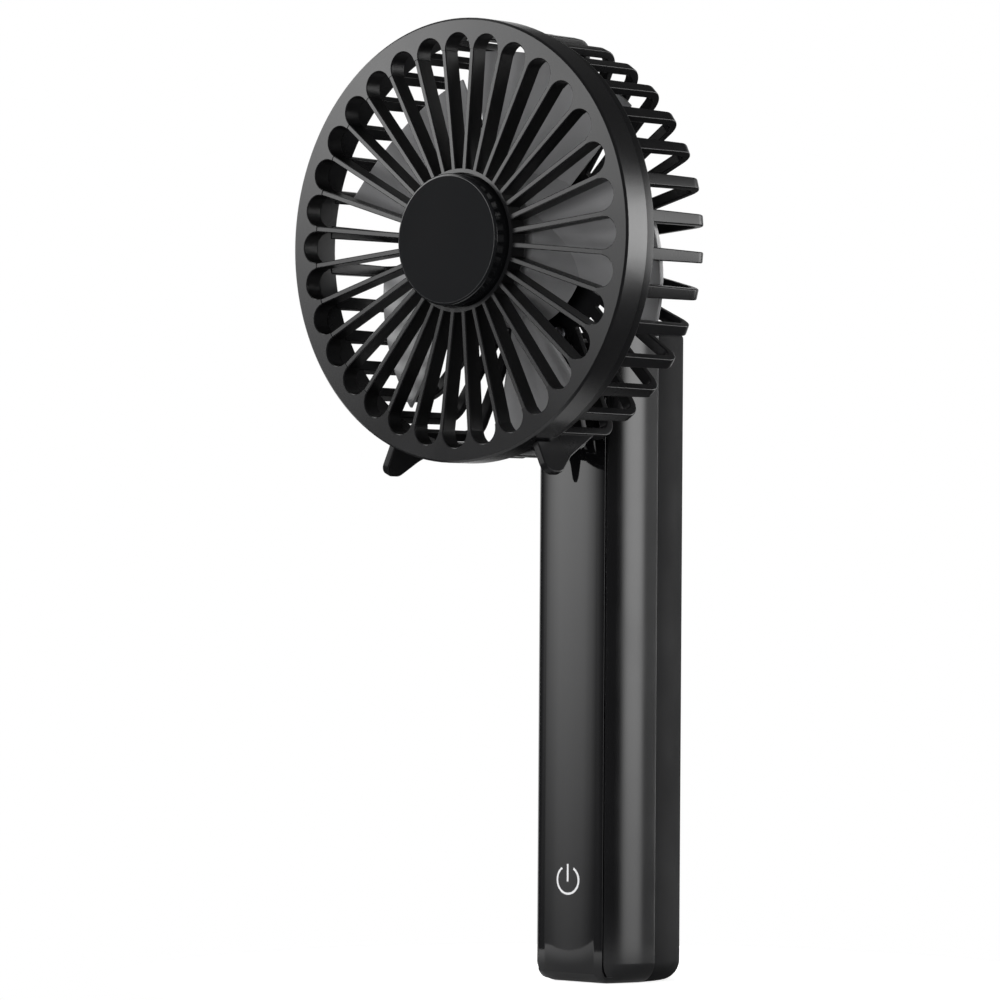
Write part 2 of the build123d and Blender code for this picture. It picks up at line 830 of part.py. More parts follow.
def neck_arm():
    back = cage_depth + neck_thickness
    middle = (neck_top + neck_bottom) / 2
    plate = Pos(0, middle) * RectangleRounded(neck_width, neck_bottom - neck_top, neck_corner)
    neck = Pos(0, 0, cage_depth) * extrude(plate, neck_thickness)
    arm = block(-barrel_length / 2, barrel_length / 2, hinge_fan_drop - arm_height / 2,
                hinge_fan_drop + arm_height / 2, cage_depth, hinge_fan_depth)
    neck += arm
    neck = fillet(neck.edges().filter_by(lambda edge: is_arm_root(edge.center(), back)), arm_root)
    hinge = Pos(0, hinge_fan_drop, hinge_fan_depth) * Rot(0, 90, 0)
    neck += hinge * Cylinder(barrel_radius, barrel_length)
    neck -= hinge * Cylinder(pin_radius + pin_running_gap, barrel_length + overrun)
    channel = lead_radius + lead_bore_gap
    neck -= Pos(0, hinge_fan_drop) * rod(channel, cage_depth, hinge_fan_depth)
    neck -= block(-channel, channel, 0, hinge_fan_drop, cage_depth, motor_lead_depth() + channel)
    for x, y in neck_screw_places():
        neck -= Pos(x, y) * rod(neck_screw_radius + fit_gap, cage_depth - overrun, back + overrun)
    return neck


def neck_screws():
    screw = pan_screw(neck_screw_radius, neck_screw_length, neck_screw_head, neck_screw_head_height)
    return group([Pos(x, y, back_inner) * screw for x, y in neck_screw_places()])


def motor_lead_depth():
    """Depth of the lead where it runs down behind the cage."""
    return cage_depth + lead_radius + lead_bore_gap


def motor_lead():
    """The head's half of the motor lead, from the motor's board to the hinge."""
    start = motor_board_front + motor_board_thickness
    end = hinge_fan_depth - pin_radius - lead_radius
    depth = motor_lead_depth()
    points = [(0, motor_lead_drop, start), (0, motor_lead_drop, depth),
              (0, hinge_fan_drop, depth), (0, hinge_fan_drop, end)]
    return wire(points, motor_lead_bend, lead_radius)


def rear_cap():
    back = cage_depth + rear_cap_depth
    inner = rear_cap_radius - rear_cap_wall
    cap = spin((inner, cage_depth), (rear_cap_radius, cage_depth), (rear_cap_radius, back - rear_cap_edge),
               (rear_cap_radius - rear_cap_edge, back), (0, back), (0, back - rear_cap_wall),
               (inner, back - rear_cap_wall))
    slot = lead_radius + lead_bore_gap
    return cap - block(-slot, slot, 0, rear_cap_radius + overrun, cage_depth - overrun, cage_depth + 2 * slot)


# Motor


def motor_base():
    bore = bearing_radius + fit_gap
    base = spin((bore, tube_front), (tube_radius, tube_front), (tube_radius, stator_back),
                (shoulder_radius_tube, stator_back), (shoulder_radius_tube, board_seat_front),
                (shoulder_radius_tube + board_seat, board_seat_front),
                (shoulder_radius_tube + board_seat, motor_foot_front), (motor_foot_radius, motor_foot_front),
                (motor_foot_radius, back_inner), (0, back_inner), (0, bore_end), (bore, bore_end))
    base -= motor_screw_ring(rod(motor_screw_radius + fit_gap, 0, cage_depth))
    return base - Pos(0, motor_lead_drop) * rod(lead_radius + lead_hole_gap, 0, cage_depth)


def motor_screws():
    screw = Rot(180, 0, 0) * pan_screw(motor_screw_radius, motor_screw_length,
                                       motor_screw_head, motor_screw_head_height)
    return group(motor_screw_ring(Pos(0, 0, cage_depth) * screw))


def bearing_sleeve():
    return tube(bearing_radius, shaft_radius + bearing_running_gap, tube_front, bearing_back)


def stator_core():
    rim = tube_radius + stator_rim
    shoe = stator_radius - tooth_shoe
    core = Circle(rim) + on_circle(Pos((rim + shoe) / 2, 0) * Rectangle(stator_radius - rim, tooth_width),
                                   tooth_count)
    shoes = Circle(stator_radius) - Circle(shoe)
    slot = Pos(stator_radius, 0) * Rectangle(2 * tooth_shoe + 2 * shoe_gap, shoe_gap)
    core += shoes - on_circle(slot, tooth_count, 180 / tooth_count)
    core -= Circle(tube_radius + fit_gap)
    return Pos(0, 0, stator_front) * extrude(core, stator_length)


def stator_coils():
    start = tube_radius + stator_rim + coil_inset
    end = stator_radius - tooth_shoe - coil_inset
    middle = (stator_front + stator_back) / 2
    height = stator_length + 2 * coil_overhang
    coil = Plane.YZ * (RectangleRounded(coil_width, height, coil_overhang)
                       - Rectangle(tooth_width + 2 * fit_gap, stator_length + 2 * fit_gap))
    coil = Pos(start, 0, middle) * extrude(coil, end - start)
    wedge = make_face(Polyline((0, 0), (ring_radius, -ring_radius * tan(radians(180 / tooth_count))),
                               (ring_radius, ring_radius * tan(radians(180 / tooth_count))), close=True))
    keep = Pos(fit_gap / sin(radians(180 / tooth_count)), 0, 0) * extrude(wedge, cage_depth)
    return group(on_circle(coil & keep, tooth_count))


def motor_board():
    return tube(motor_board_radius, shoulder_radius_tube + fit_gap, motor_board_front, board_seat_front)


def rotor_cup():
    return spin((shaft_radius, cup_front), (cup_radius, cup_front), (cup_radius, cup_front + cup_length),
                (cup_inner, cup_front + cup_length), (cup_inner, cup_front + cup_wall),
                (cup_boss_radius, cup_front + cup_wall), (cup_boss_radius, cup_front + cup_boss_length),
                (shaft_radius, cup_front + cup_boss_length))


def magnet_ring():
    start = cup_front + magnet_start
    return tube(cup_inner - fit_gap, magnet_inner, start, start + magnet_length)


def motor_shaft():
    groove = shaft_radius - clip_groove
    front = cup_front - shaft_seat
    return spin((0, front), (shaft_radius, front), (shaft_radius, clip_back - clip_thickness),
                (groove, clip_back - clip_thickness), (groove, clip_back), (shaft_radius, clip_back),
                (shaft_radius, shaft_back), (0, shaft_back))


def shaft_clip():
    return tube(clip_radius, shaft_radius - clip_groove, clip_back - clip_thickness, clip_back)


# Impeller


def blade_section(radius):
    """A thin cambered slice across a blade, square to its own radius."""
    middle = (blade_front + blade_back) / 2
    half_depth = (blade_back - blade_front) / 2
    half_width = radius * tan(radians(blade_half_angle))
    start = Vector(-half_width, -half_depth)
    end = Vector(half_width, half_depth)
    across = (end - start).normalized().rotate(Axis.Z, 90)
    edge = across * (blade_edge / 2)
    top = across * (blade_camber + blade_thickness / 2)
    low = across * (blade_camber - blade_thickness / 2)
    outline = make_face([
        ThreePointArc(start + edge, top, end + edge),
        Line(end + edge, end - edge),
        ThreePointArc(end - edge, low, start - edge),
        Line(start - edge, start + edge),
    ])
    return Plane(origin=(radius, 0, middle), x_dir=(0, 1, 0), z_dir=(1, 0, 0)) * outline


def impeller():
    hub = spin((0, nose_depth), (nose_radius, nose_depth), (shoulder_radius, shoulder_depth),
               (waist_radius, waist_depth), (flare_radius, flare_depth), (0, flare_depth))
    section_radii = (cup_radius, (cup_radius + ring_radius) / 2, ring_radius)
    blade = loft([blade_section(radius) for radius in section_radii])
    blade &= rod(blade_radius, 0, cage_depth)
    body = hub + on_circle(blade, blade_count, blade_phase)
    seat = cup_radius + fit_gap
    inner_flare = flare_radius - impeller_wall
    hollow = spin((0, cup_front), (seat, cup_front), (seat, waist_depth - impeller_wall),
                  (waist_radius - impeller_wall, waist_depth), (inner_flare, flare_depth),
                  (inner_flare, cage_depth), (0, cage_depth))
    body -= hollow
    return body - rod(shaft_radius, cup_front - shaft_seat, cage_depth)


handle_nodes = {
    "handle_body": handle_body(),
    "front_panel": front_panel(),
    "rear_cover": rear_cover(),
    "handle_screws": handle_screws(),
    "battery_cell": battery_cell(),
    "battery_tabs": battery_tabs(),
    "battery_lead_positive": battery_lead(1, battery_top + tab_thickness, lead_stand),
    "battery_lead_negative": battery_lead(-1, battery_rise - tab_thickness, -lead_stand),
    "main_board": main_board(),
    "board_screws": board_screws(),
    "usb_socket": usb_socket(),
    "touch_pad": touch_pad(),
    "handle_lead": handle_lead(),
    "hinge_bracket": hinge_bracket(),
    "bracket_screws": bracket_screws(),
    "hinge_pin": hinge_pin(),
    "hinge_nut": hinge_nut(),
    "friction_washers": friction_washers(),
    "hinge_cover": hinge_cover(),
}

fan_nodes = {
    "front_grille": front_grille(),
    "hub_cap": hub_cap(),
    "rear_cage": rear_cage(),
    "rear_cap": rear_cap(),
    "neck_arm": neck_arm(),
    "neck_screws": neck_screws(),
    "motor_lead": motor_lead(),
    "motor_base": motor_base(),
    "motor_screws": motor_screws(),
    "bearing_sleeve": bearing_sleeve(),
    "stator_core": stator_core(),
    "stator_coils": stator_coils(),
    "motor_board": motor_board(),
    "rotor_cup": rotor_cup(),
    "magnet_ring": magnet_ring(),
    "motor_shaft": motor_shaft(),
    "shaft_clip": shaft_clip(),
    "impeller": impeller(),
}

os.makedirs("parts", exist_ok=True)
for name, shape in handle_nodes.items():
    export_step(shape, f"parts/{name}.step")
for name, shape in fan_nodes.items():
    export_step(fan_frame * shape, f"parts/{name}.step")
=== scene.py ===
import json
import math
from typing import NamedTuple

import bmesh
import bpy
from bpy.props import FloatProperty, FloatVectorProperty, PointerProperty
from mathutils import Matrix, Vector

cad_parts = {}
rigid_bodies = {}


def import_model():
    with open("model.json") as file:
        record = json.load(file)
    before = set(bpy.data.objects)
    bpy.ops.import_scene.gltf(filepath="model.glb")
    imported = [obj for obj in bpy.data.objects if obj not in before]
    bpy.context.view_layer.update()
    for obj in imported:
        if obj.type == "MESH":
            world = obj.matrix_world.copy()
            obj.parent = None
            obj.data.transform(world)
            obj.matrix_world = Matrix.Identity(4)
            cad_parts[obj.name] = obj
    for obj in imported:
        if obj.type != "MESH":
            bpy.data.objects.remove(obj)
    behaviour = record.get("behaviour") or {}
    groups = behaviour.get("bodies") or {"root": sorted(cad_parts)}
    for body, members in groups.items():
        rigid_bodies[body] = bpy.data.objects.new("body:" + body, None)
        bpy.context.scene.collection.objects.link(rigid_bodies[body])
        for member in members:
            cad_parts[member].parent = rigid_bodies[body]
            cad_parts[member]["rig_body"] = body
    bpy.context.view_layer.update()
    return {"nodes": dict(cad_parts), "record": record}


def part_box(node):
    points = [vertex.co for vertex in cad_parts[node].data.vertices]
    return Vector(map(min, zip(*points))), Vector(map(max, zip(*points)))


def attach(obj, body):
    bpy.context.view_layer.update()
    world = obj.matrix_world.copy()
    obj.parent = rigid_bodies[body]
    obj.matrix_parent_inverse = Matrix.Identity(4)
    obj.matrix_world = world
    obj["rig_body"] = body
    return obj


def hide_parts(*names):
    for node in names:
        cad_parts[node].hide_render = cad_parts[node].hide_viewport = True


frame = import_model()

bl_info = {
    "name": "Folding hand fan",
    "version": (1, 0, 0),
    "blender": (4, 5, 0),
    "location": "View3D > Sidebar > Hand fan",
    "description": "Dresses the parts of a folding hand fan and sets up its studio",
    "category": "Object",
}

# Places and sizes taken from the frame, in metres
PANEL_LOW, PANEL_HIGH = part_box("front_panel")
GRILLE_LOW, GRILLE_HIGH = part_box("front_grille")
RING_RADIUS = (GRILLE_HIGH.x - GRILLE_LOW.x) / 2
RING_MIDDLE = Vector(((GRILLE_LOW.x + GRILLE_HIGH.x) / 2, GRILLE_LOW.y, (GRILLE_LOW.z + GRILLE_HIGH.z) / 2))

# Working limits of the mesh tools
MERGE_DISTANCE = 1e-7
FLAT_ANGLE = math.radians(2)
EDGE_ANGLE = math.radians(35)
SMOOTH_ANGLE = math.radians(50)
GRILLE_ANGLE = math.radians(28)
EDGE_SEGMENTS = 2
EDGE_PROFILE = 0.5
MANY_CORNERS = 12
ARC_STEPS = 48

# Where a second finish goes (on the grille's slot walls, a colour darkened as painted shade): limits on the
# y part of a face's normal, and a share of the ring's radius
FRONT_FACING = -0.5
FACE_ON = -0.99
SLOT_REACH_SHARE = 0.95

# Finishes: the unit of relief, the middle stretch of a noise, the outward fall of the ring's shading,
# and the painted shade that darkens the slot walls' colour against the grille's face
MICRON = 1e-6
NOISE_START = 0.3
NOISE_END = 0.7
FACE_FALL = 0.1
WALL_PAINTED_SHADE = 0.5

# Factors that keep two axes of a vector
ACROSS_RING = (1.0, 0.0, 1.0)
LEVEL = (1.0, 1.0, 0.0)

# The floor, whose glow in reflections grows outwards from a painted shade round the object, and the fill
# lamp
FLOOR_RADIUS = 0.12
FLOOR_PAINTED_SHADE = 0.06
FLOOR_ROUGHNESS = 0.9
FILL_PLACE = Vector((0.3, -0.95, 0.14))
FILL_SIZE = (0.5, 0.3)
WHITE = (1.0, 1.0, 1.0, 1.0)

# The dim room: its strength below and above, and the sine of the elevation where it stops changing
ROOM_BELOW = 0.05
ROOM_ABOVE = 0.08
ROOM_HEIGHT = 0.3


class SoftBox(NamedTuple):
    """A soft upright light in the surroundings.

    Its azimuth, from the front towards +X, and the half widths of its full and whole light are in degrees.
    Its heights are where the light starts, is full, fades and ends, as sines of the elevation.
    """

    azimuth: float
    full: float
    whole: float
    heights: tuple


LEFT_BOX = SoftBox(azimuth=-40, full=4, whole=23, heights=(-0.13, 0.12, 0.25, 0.45))
HIGH_BOX = SoftBox(azimuth=-72, full=12, whole=34, heights=(0.05, 0.3, 0.7, 0.95))
RIGHT_BOX = SoftBox(azimuth=100.5, full=1, whole=16, heights=(-0.16, 0.05, 0.2, 0.4))
RIGHT_TAIL = SoftBox(azimuth=120, full=4, whole=15, heights=(-0.16, 0.05, 0.2, 0.4))
REAR_BOX = SoftBox(azimuth=151, full=12, whole=20, heights=(-0.25, -0.02, 0.15, 0.42))
BACKDROP = SoftBox(azimuth=221, full=20, whole=45, heights=(-0.3, -0.05, 0.2, 0.4))


# Properties that a user would change


class FanSizes(bpy.types.PropertyGroup):
    """Sizes of the small details that are added to the parts."""

    mould_edge: FloatProperty(
        name="Mould edge", description="Rounding of the moulded edges of handle and neck",
        default=0.00012, unit="LENGTH", precision=5)
    rib_edge: FloatProperty(
        name="Rib edge", description="Rounding of the cage's ribs",
        default=0.0003, unit="LENGTH", precision=5)
    cap_edge: FloatProperty(
        name="Cap edge", description="Rounding of the hub cap's rim",
        default=0.00018, unit="LENGTH", precision=5)
    blade_edge: FloatProperty(
        name="Blade edge", description="Rounding of the blades' edges",
        default=0.0002, unit="LENGTH", precision=5)
    mark_rise: FloatProperty(
        name="Mark height", description="Height of the power mark above the base",
        default=0.0246, unit="LENGTH", precision=4)
    mark_radius: FloatProperty(
        name="Mark radius", description="Middle radius of the power mark's ring",
        default=0.0033, unit="LENGTH", precision=5)
    mark_stroke: FloatProperty(
        name="Mark stroke", description="Width of the power mark's lines",
        default=0.00052, unit="LENGTH", precision=5)
    mark_opening: FloatProperty(
        name="Mark opening", description="Opening at the top of the power mark's ring",
        default=math.radians(64), subtype="ANGLE")
    mark_bar: FloatProperty(
        name="Mark bar", description="Length of the power mark's bar",
        default=0.0042, unit="LENGTH", precision=5)
    mark_proud: FloatProperty(
        name="Mark ink", description="Thickness of the printed power mark",
        default=0.00003, unit="LENGTH", precision=6)
    panel_crown: FloatProperty(
        name="Panel crown", description="Rise of the front panel's middle over its long edges",
        default=0.001, unit="LENGTH", precision=5)


class FanColours(bpy.types.PropertyGroup):
    """Base colours of the finishes."""

    shell: FloatVectorProperty(
        name="Shell", description="Polished body of the handle",
        default=(0.006, 0.006, 0.0065), subtype="COLOR", min=0, max=1)
    panel: FloatVectorProperty(
        name="Panel", description="Mirror-polished front panel",
        default=(0.004, 0.004, 0.0045), subtype="COLOR", min=0, max=1)
    cover: FloatVectorProperty(
        name="Cover", description="Satin rear cover",
        default=(0.009, 0.009, 0.0095), subtype="COLOR", min=0, max=1)
    grille: FloatVectorProperty(
        name="Grille", description="Satin front grille",
        default=(0.008, 0.008, 0.0085), subtype="COLOR", min=0, max=1)
    cap: FloatVectorProperty(
        name="Hub cap", description="Fine satin hub cap",
        default=(0.006, 0.0063, 0.007), subtype="COLOR", min=0, max=1)
    cage: FloatVectorProperty(
        name="Cage", description="Semi-gloss rear cage",
        default=(0.008, 0.008, 0.0085), subtype="COLOR", min=0, max=1)
    blade: FloatVectorProperty(
        name="Blade", description="Grey impeller",
        default=(0.2, 0.2, 0.204), subtype="COLOR", min=0, max=1)
    neck: FloatVectorProperty(
        name="Neck", description="Satin neck, hinge cover and rear cap",
        default=(0.008, 0.008, 0.0085), subtype="COLOR", min=0, max=1)
    mark: FloatVectorProperty(
        name="Mark", description="Printed power mark",
        default=(0.62, 0.62, 0.63), subtype="COLOR", min=0, max=1)
    floor: FloatVectorProperty(
        name="Floor", description="Studio floor",
        default=(0.8, 0.8, 0.8), subtype="COLOR", min=0, max=1)


class FanStudio(bpy.types.PropertyGroup):
    """Camera and light of the studio."""

    camera_azimuth: FloatProperty(
        name="Camera azimuth", description="Angle of the camera from the front towards +X",
        default=math.radians(41.044), subtype="ANGLE")
    camera_pitch: FloatProperty(
        name="Camera pitch", description="Angle by which the camera looks down",
        default=math.radians(-0.92), subtype="ANGLE")
    camera_roll: FloatProperty(
        name="Camera roll", description="Turn of the camera about its own axis",
        default=math.radians(0.407), subtype="ANGLE")
    camera_right: FloatProperty(
        name="Camera right", description="Step of the camera to the right of the ring's middle",
        default=0.010311, unit="LENGTH", precision=4)
    camera_up: FloatProperty(
        name="Camera up", description="Step of the camera above the ring's middle",
        default=-0.060638, unit="LENGTH", precision=4)
    camera_distance: FloatProperty(
        name="Camera distance", description="Distance of the camera from the ring's middle",
        default=1.19863, unit="LENGTH", precision=4)
    camera_lens: FloatProperty(
        name="Lens", description="Focal length in millimetres on a 36 mm sensor",
        default=184.86, unit="CAMERA")
    fill_power: FloatProperty(
        name="Fill lamp", description="Power of the wide soft lamp beside the camera",
        default=8.0, unit="POWER")
    left_strength: FloatProperty(
        name="Left box", description="Strength of the tall soft box at the left of the camera",
        default=4.6)
    high_strength: FloatProperty(
        name="High box", description="Strength of the soft box high at the far left",
        default=3.4)
    right_strength: FloatProperty(
        name="Right box", description="Strength of the tall soft box at the right",
        default=7.0)
    rear_strength: FloatProperty(
        name="Rear box", description="Strength of the tall soft box behind the right side",
        default=8.5)
    tail_strength: FloatProperty(
        name="Right tail", description="Strength of the right box's soft far side",
        default=1.2)
    backdrop_strength: FloatProperty(
        name="Backdrop", description="Strength of the backdrop as a light on matt surfaces",
        default=0.25)
    floor_glow: FloatProperty(
        name="Floor glow", description="What lifts the floor to white for the camera, shadow kept",
        default=0.8)


# Node helpers


def add_node(tree, kind, inputs=None, **settings):
    """A node in a tree, with its settings, and each named input set or linked."""
    node = tree.nodes.new(kind)
    for name, value in settings.items():
        setattr(node, name, value)
    for name, value in (inputs or {}).items():
        if isinstance(value, bpy.types.NodeSocket):
            tree.links.new(value, node.inputs[name])
        else:
            node.inputs[name].default_value = value
    return node


def combined(tree, operation, first, second):
    """Two values put together by an operation."""
    return add_node(tree, "ShaderNodeMath", {0: first, 1: second}, operation=operation).outputs["Value"]


def vector_outputs(tree, operation, *vectors):
    """The outputs of an operation on one or two vectors."""
    return add_node(tree, "ShaderNodeVectorMath", dict(enumerate(vectors)), operation=operation).outputs


def eased(tree, value, start, end, low, high):
    """A smooth change from low to high as a value goes from start to end."""
    inputs = {"Value": value, "From Min": start, "From Max": end, "To Min": low, "To Max": high}
    return add_node(tree, "ShaderNodeMapRange", inputs, interpolation_type="SMOOTHSTEP").outputs["Result"]


def tinted(colour, factor):
    """A colour made lighter or darker."""
    return tuple(channel * factor for channel in colour)


class Finish:
    """A material being built: its tree, its shader and the piece's own coordinates."""

    def __init__(self, name, specular=0.5, metallic=0.0):
        self.material = bpy.data.materials.new(name)
        self.material.use_nodes = True
        self.tree = self.material.node_tree
        self.shader = self.tree.nodes["Principled BSDF"]
        self.shader.inputs["Specular IOR Level"].default_value = specular
        self.shader.inputs["Metallic"].default_value = metallic
        self.place = self.node("ShaderNodeTexCoord").outputs["Object"]

    def node(self, kind, inputs=None, **settings):
        """A node in the finish's tree."""
        return add_node(self.tree, kind, inputs, **settings)

    def stretched(self, scale):
        """The piece's coordinates with each axis scaled."""
        return self.node("ShaderNodeMapping", {"Vector": self.place, "Scale": scale}).outputs["Vector"]

    def noise(self, scale, detail=2.0, place=None):
        """Cloudy noise from 0 to 1."""
        inputs = {"Vector": place or self.place, "Scale": scale, "Detail": detail}
        return self.node("ShaderNodeTexNoise", inputs).outputs["Fac"]

    def outward(self, gain):
        """Distance from the ring's axis, times a gain."""
        step = vector_outputs(self.tree, "SUBTRACT", self.place, RING_MIDDLE)["Vector"]
        flat = vector_outputs(self.tree, "MULTIPLY", step, ACROSS_RING)["Vector"]
        reach = vector_outputs(self.tree, "LENGTH", flat)["Value"]
        return combined(self.tree, "MULTIPLY", reach, gain)

    def colours(self, factor, low, high, start=NOISE_START, end=NOISE_END):
        """Base colour from low to high as a factor goes from start to end."""
        ramp = self.node("ShaderNodeValToRGB", {"Fac": factor})
        stops = ramp.color_ramp.elements
        stops[0].position = start
        stops[1].position = end
        stops[0].color = (*low, 1.0)
        stops[1].color = (*high, 1.0)
        self.tree.links.new(ramp.outputs["Color"], self.shader.inputs["Base Color"])

    def shades(self, factor, colour, low, high):
        """Base colour from a darker to a lighter shade of a colour by a factor."""
        self.colours(factor, tinted(colour, low), tinted(colour, high))

    def roughness(self, factor, low, high):
        """Roughness from low to high by a factor."""
        middle = {"Value": factor, "From Min": NOISE_START, "From Max": NOISE_END}
        spread = self.node("ShaderNodeMapRange", {**middle, "To Min": low, "To Max": high}).outputs["Result"]
        self.tree.links.new(spread, self.shader.inputs["Roughness"])

    def relief(self, *layers):
        """Relief from layers of (height, depth), finest last."""
        normal = None
        for height, depth in layers:
            inputs = {"Height": height, "Distance": depth}
            if normal:
                inputs["Normal"] = normal
            normal = self.node("ShaderNodeBump", inputs).outputs["Normal"]
        self.tree.links.new(normal, self.shader.inputs["Normal"])


# Finishes


def moulded_black(name, colour, roughness, specular, grain, depth, fall=0.0):
    """Moulded plastic with a fine grain, faint flow clouds and uneven gloss.

    With a fall, it is shaded as if its face sloped back outwards from the ring's axis.
    """
    finish = Finish(name, specular)
    cloud = finish.noise(scale=55.0, detail=3.0)
    layers = [(finish.noise(scale=grain, detail=1.0), depth)]
    if fall:
        layers.insert(0, (finish.outward(-fall), 1.0))
    finish.shades(cloud, colour, low=0.88, high=1.12)
    finish.roughness(cloud, low=roughness * 0.9, high=roughness * 1.1)
    finish.relief(*layers)
    return finish.material


def polished_black(name, colour, roughness, specular):
    """Polished plastic with a slight ripple and faint lengthwise handling marks."""
    finish = Finish(name, specular)
    smudge = finish.noise(scale=70.0, detail=4.0)
    marks = finish.noise(scale=900.0, place=finish.stretched((1.0, 1.0, 0.04)))
    ripple = finish.noise(scale=110.0, detail=1.0)
    finish.shades(smudge, colour, low=0.9, high=1.1)
    finish.roughness(smudge, low=roughness * 0.8, high=roughness * 1.2)
    finish.relief((ripple, 4 * MICRON), (marks, 0.4 * MICRON))
    return finish.material


def printed_ink(name, colour):
    """Matt screen-printed ink."""
    finish = Finish(name, specular=0.3)
    grain = finish.noise(scale=9000.0)
    finish.shades(grain, colour, low=0.93, high=1.05)
    finish.roughness(grain, low=0.5, high=0.65)
    finish.relief((grain, 4 * MICRON))
    return finish.material


def plated_metal(name, colour, roughness):
    """Drawn or plated metal with fine lines and uneven shine."""
    finish = Finish(name, metallic=1.0)
    lines = finish.noise(scale=2500.0, place=finish.stretched((1.0, 0.05, 1.0)))
    cloud = finish.noise(scale=400.0, detail=3.0)
    finish.shades(cloud, colour, low=0.85, high=1.0)
    finish.roughness(cloud, low=roughness * 0.8, high=roughness * 1.3)
    finish.relief((lines, 3 * MICRON))
    return finish.material


def banded(name, low, high, scale, direction, roughness, metallic=0.0):
    """Fine parallel bands, as on a winding or a stack of sheets."""
    finish = Finish(name, metallic=metallic)
    inputs = {"Vector": finish.place, "Scale": scale, "Distortion": 0.3, "Detail": 1.0}
    bands = finish.node("ShaderNodeTexWave", inputs, bands_direction=direction).outputs["Fac"]
    finish.colours(bands, low, high, start=0.1, end=0.9)
    finish.roughness(finish.noise(scale=300.0), low=roughness * 0.85, high=roughness * 1.15)
    finish.relief((bands, 30 * MICRON))
    return finish.material


def speckled(name, low, high, roughness, scale, depth, metallic=0.0):
    """A grainy or porous surface with pits."""
    finish = Finish(name, specular=0.4, metallic=metallic)
    pits = finish.node("ShaderNodeTexVoronoi", {"Vector": finish.place, "Scale": scale}).outputs["Distance"]
    cloud = finish.noise(scale=scale * 0.2, detail=3.0)
    finish.colours(cloud, low, high)
    finish.roughness(cloud, low=roughness * 0.85, high=roughness * 1.1)
    finish.relief((pits, depth))
    return finish.material


def solder_mask(name):
    """Green board with faint copper tracks under its lacquer."""
    finish = Finish(name)
    inputs = {"Vector": finish.stretched((1.0, 1.0, 0.35)), "Scale": 900.0}
    tracks = finish.node("ShaderNodeTexBrick", inputs).outputs["Fac"]
    finish.colours(tracks, low=(0.012, 0.1, 0.04), high=(0.03, 0.22, 0.08), start=0.0, end=1.0)
    finish.roughness(finish.noise(scale=250.0), low=0.25, high=0.4)
    finish.relief((tracks, 30 * MICRON))
    return finish.material


def outer_finishes(colours):
    """The finishes of the outer parts, by slot."""
    return {
        "shell_gloss": polished_black("polished_black", colours.shell, roughness=0.14, specular=0.4),
        "panel_gloss": polished_black("mirror_black", colours.panel, roughness=0.035, specular=0.5),
        "cover_satin": moulded_black(
            "cover_satin_black", colours.cover,
            roughness=0.58, specular=0.04, grain=5200.0, depth=12 * MICRON),
        "grille_black": moulded_black(
            "grille_satin_black", colours.grille,
            roughness=0.24, specular=0.37, grain=3600.0, depth=6 * MICRON, fall=FACE_FALL),
        # The slot walls: rougher, weaker gloss, and the grille's colour halved as painted shade in the slots
        "grille_walls": moulded_black(
            "grille_wall_black_painted_shade", tinted(colours.grille, WALL_PAINTED_SHADE),
            roughness=0.36, specular=0.2, grain=3600.0, depth=3 * MICRON),
        "cap_black": moulded_black(
            "cap_satin_black", colours.cap,
            roughness=0.6, specular=0.06, grain=5600.0, depth=10 * MICRON),
        "cap_rim": polished_black("cap_rim_polished_black", colours.cap, roughness=0.16, specular=0.5),
        "cage_black": moulded_black(
            "cage_semi_gloss_black", colours.cage,
            roughness=0.28, specular=0.14, grain=3000.0, depth=3 * MICRON),
        "blade_grey": moulded_black(
            "blade_satin_grey", colours.blade,
            roughness=0.33, specular=0.5, grain=3200.0, depth=4 * MICRON),
        "neck_black": moulded_black(
            "neck_satin_black", colours.neck,
            roughness=0.4, specular=0.35, grain=4800.0, depth=10 * MICRON),
    }


def inner_finishes():
    """The finishes of the inner parts, by slot."""
    return {
        "inner_plastic": moulded_black(
            "inner_plastic", (0.03, 0.03, 0.032),
            roughness=0.45, specular=0.4, grain=3500.0, depth=10 * MICRON),
        "nylon": moulded_black(
            "natural_nylon", (0.72, 0.7, 0.64),
            roughness=0.4, specular=0.4, grain=3000.0, depth=5 * MICRON),
        "steel": plated_metal("zinc_plated_steel", (0.56, 0.57, 0.6), roughness=0.3),
        "cell_can": banded(
            "cell_sleeve", (0.02, 0.11, 0.3), (0.025, 0.13, 0.34),
            scale=90.0, direction="Z", roughness=0.3),
        "nickel": plated_metal("nickel_strip", (0.66, 0.63, 0.56), roughness=0.28),
        "board_green": solder_mask("solder_mask"),
        "lead_red": moulded_black(
            "red_lead", (0.4, 0.012, 0.012),
            roughness=0.45, specular=0.4, grain=2600.0, depth=8 * MICRON),
        "lead_black": moulded_black(
            "black_lead", (0.014, 0.014, 0.014),
            roughness=0.48, specular=0.4, grain=2600.0, depth=8 * MICRON),
        "touch_foam": speckled(
            "touch_foam", (0.012, 0.012, 0.012), (0.03, 0.03, 0.03),
            roughness=0.9, scale=2600.0, depth=120 * MICRON),
        "lamination": banded(
            "stacked_steel", (0.18, 0.18, 0.19), (0.34, 0.34, 0.35),
            scale=320.0, direction="Y", roughness=0.4, metallic=1.0),
        "copper": banded(
            "copper_winding", (0.3, 0.09, 0.03), (0.72, 0.3, 0.12),
            scale=700.0, direction="DIAGONAL", roughness=0.3, metallic=1.0),
        "magnet": speckled(
            "bonded_magnet", (0.02, 0.02, 0.022), (0.05, 0.05, 0.052),
            roughness=0.6, scale=5000.0, depth=20 * MICRON),
        "bronze": speckled(
            "sintered_bronze", (0.3, 0.17, 0.06), (0.5, 0.3, 0.12),
            roughness=0.45, scale=7000.0, depth=20 * MICRON, metallic=1.0),
    }


# Name of each made finish by its slot, which the finishes operator fills
FINISH_NAMES = {}


def made_finish(slot):
    """The finish that was made for a slot."""
    return bpy.data.materials[FINISH_NAMES[slot]]


# Mesh helpers


